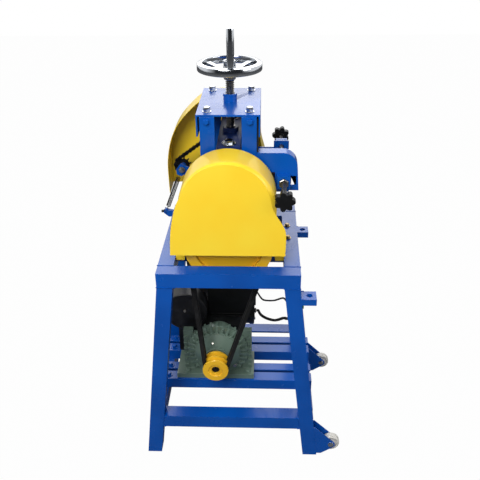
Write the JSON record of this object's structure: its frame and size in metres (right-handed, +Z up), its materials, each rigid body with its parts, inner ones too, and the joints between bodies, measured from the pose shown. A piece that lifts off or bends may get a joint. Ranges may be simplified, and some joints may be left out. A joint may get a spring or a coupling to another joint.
{
  "type": "cable stripping machine",
  "caption": "Powered cable stripping machine on a splayed tube stand: belt-driven feed wheels, chain-linked slitting discs on a handwheel lift, side guards, infeed guides and tip-up casters.",
  "frame": {"origin": "centre of the footprint's bounding box, on the floor", "axes": "+Z up, +X along the cable towards the infeed table and the casters, +Y from the belt side to the chain side"},
  "size_m": [0.5566, 0.476, 1.1646],
  "materials": {
    "blue_paint": "gloss",
    "yellow_paint": "satin",
    "pulley_paint": "satin",
    "grey_green_paint": "satin",
    "black_paint": "satin",
    "rubber": "matte",
    "tread": "matte",
    "chrome": "polished",
    "steel": "satin",
    "tool_steel": "satin",
    "dark_steel": "satin",
    "black_plastic": "matte",
    "red_plastic": "gloss",
    "green_plastic": "gloss"
  },
  "bodies": {
    "stand": {"stand_frame": "blue_paint", "reducer_bar_near": "blue_paint", "reducer_bar_far": "blue_paint", "motor_bar_near": "blue_paint", "motor_bar_far": "blue_paint", "post_near_left": "blue_paint", "post_near_right": "blue_paint", "post_far_left": "blue_paint", "post_far_right": "blue_paint", "cap_plate": "blue_paint", "infeed_flap": "rubber", "feed_bearing_near": "dark_steel", "feed_bearing_far": "dark_steel", "infeed_plate_near": "blue_paint", "infeed_table": "blue_paint", "near_guard": "yellow_paint", "far_guard": "yellow_paint", "gearbox_case": "grey_green_paint", "motor_body": "black_paint", "terminal_box": "black_plastic", "switch_lead_upper": "rubber", "switch_lead_lower": "rubber", "switch_box": "black_plastic", "belt_near": "rubber", "belt_far": "rubber", "roller_chain": "dark_steel", "tensioner_spring": "dark_steel", "arm_pin": "steel"},
    "carriage": {"carriage_beam": "blue_paint", "blade_bearing_near": "dark_steel", "blade_bearing_far": "dark_steel"},
    "handwheel": {"lifting_screw": "steel", "handwheel": "chrome"},
    "crank": {"crank_handle": "chrome"},
    "blade_arbor": {"blade_shaft": "steel", "slitting_disc_1": "tool_steel", "slitting_disc_2": "tool_steel", "slitting_disc_3": "tool_steel", "blade_sprocket": "dark_steel"},
    "feed_arbor": {"feed_shaft": "steel", "feed_wheel_1": "tool_steel", "feed_wheel_2": "tool_steel", "feed_wheel_3": "tool_steel", "feed_sprocket": "dark_steel", "feed_pulley": "pulley_paint"},
    "motor_drive": {"motor_pulley": "pulley_paint"},
    "guide_wheel": {"guide_sprocket": "dark_steel"},
    "tension_arm": {"tensioner_arm": "blue_paint"},
    "idler_wheel": {"idler_sprocket": "dark_steel"},
    "guide_near": {"guide_plate_near": "dark_steel"},
    "guide_far": {"guide_plate_far": "dark_steel"},
    "knob_near": {"star_knob_near": "black_plastic"},
    "knob_far": {"star_knob_far": "black_plastic"},
    "caster_near": {"caster_wheel_near": "tread"},
    "caster_far": {"caster_wheel_far": "tread"},
    "start_push": {"start_button": "green_plastic"},
    "stop_push": {"stop_button": "red_plastic"}
  },
  "joints": [
    {"name": "blade_lift", "type": "slide", "parent": "stand", "child": "carriage", "axis": [0, 0, 1], "range_m": [0, 0.02], "deforming": ["roller_chain", "tensioner_spring"]},
    {"name": "handwheel_turn", "type": "hinge", "parent": "carriage", "child": "handwheel", "pos_m": [-0.03225, 0.0105, 1.0736], "axis": [0, 0, 1], "range_deg": [0, 1440]},
    {"name": "crank_spin", "type": "hinge", "parent": "handwheel", "child": "crank", "pos_m": [-0.02615, -0.05923, 1.0736], "axis": [0, 0, 1], "continuous": true},
    {"name": "feed_spin", "type": "hinge", "parent": "stand", "child": "feed_arbor", "pos_m": [-0.03225, 0.0105, 0.671], "axis": [0, 1, 0], "continuous": true},
    {"name": "blade_spin", "type": "hinge", "parent": "carriage", "child": "blade_arbor", "pos_m": [-0.03225, 0.0105, 0.83], "axis": [0, 1, 0], "continuous": true},
    {"name": "motor_pulley_spin", "type": "hinge", "parent": "stand", "child": "motor_drive", "pos_m": [-0.07625, -0.162, 0.2665], "axis": [0, 1, 0], "continuous": true},
    {"name": "guide_spin", "type": "hinge", "parent": "stand", "child": "guide_wheel", "pos_m": [0.03775, 0.168, 0.655], "axis": [0, 1, 0], "continuous": true},
    {"name": "tension_swing", "type": "hinge", "parent": "stand", "child": "tension_arm", "pos_m": [-0.08325, 0.138, 0.72], "axis": [0, 1, 0], "range_deg": [0, 5.5]},
    {"name": "idler_spin", "type": "hinge", "parent": "tension_arm", "child": "idler_wheel", "pos_m": [-0.18125, 0.168, 0.74], "axis": [0, 1, 0], "continuous": true},
    {"name": "guide_near_slide", "type": "slide", "parent": "stand", "child": "guide_near", "axis": [0, 1, 0], "range_m": [-0.024, 0.003]},
    {"name": "guide_far_slide", "type": "slide", "parent": "stand", "child": "guide_far", "axis": [0, -1, 0], "range_m": [-0.01, 0.02]},
    {"name": "knob_near_turn", "type": "hinge", "parent": "guide_near", "child": "knob_near", "pos_m": [0.10205, -0.228, 0.8135], "axis": [0, 1, 0], "range_deg": [-4938, 618]},
    {"name": "knob_far_turn", "type": "hinge", "parent": "guide_far", "child": "knob_far", "pos_m": [0.10205, 0.219, 0.8135], "axis": [0, -1, 0], "range_deg": [-2058, 4115]},
    {"name": "caster_near_spin", "type": "hinge", "parent": "stand", "child": "caster_near", "pos_m": [0.25325, -0.2175, 0.04], "axis": [0, 1, 0], "continuous": true},
    {"name": "caster_far_spin", "type": "hinge", "parent": "stand", "child": "caster_far", "pos_m": [0.25325, 0.1405, 0.04], "axis": [0, 1, 0], "continuous": true},
    {"name": "start_press", "type": "slide", "parent": "stand", "child": "start_push", "axis": [-1, 0, 0], "range_m": [0, 0.003], "stiffness_N_per_m": 400, "springref_m": -0.003},
    {"name": "stop_press", "type": "slide", "parent": "stand", "child": "stop_push", "axis": [-1, 0, 0], "range_m": [0, 0.003], "stiffness_N_per_m": 400, "springref_m": -0.003}
  ],
  "couplings": [
    {"joint": "handwheel_turn", "follows": "blade_lift", "rad_per_m": 1256.6},
    {"joint": "tension_swing", "follows": "blade_lift", "rad_per_m": 4.7},
    {"joint": "blade_spin", "follows": "feed_spin", "ratio": -1},
    {"joint": "motor_pulley_spin", "follows": "feed_spin", "ratio": 3.627},
    {"joint": "guide_spin", "follows": "feed_spin", "ratio": -1.7273},
    {"joint": "idler_spin", "follows": "feed_spin", "ratio": -1.7273},
    {"joint": "knob_near_turn", "follows": "guide_near_slide", "rad_per_m": 3590.4},
    {"joint": "knob_far_turn", "follows": "guide_far_slide", "rad_per_m": 3590.4}
  ]
}
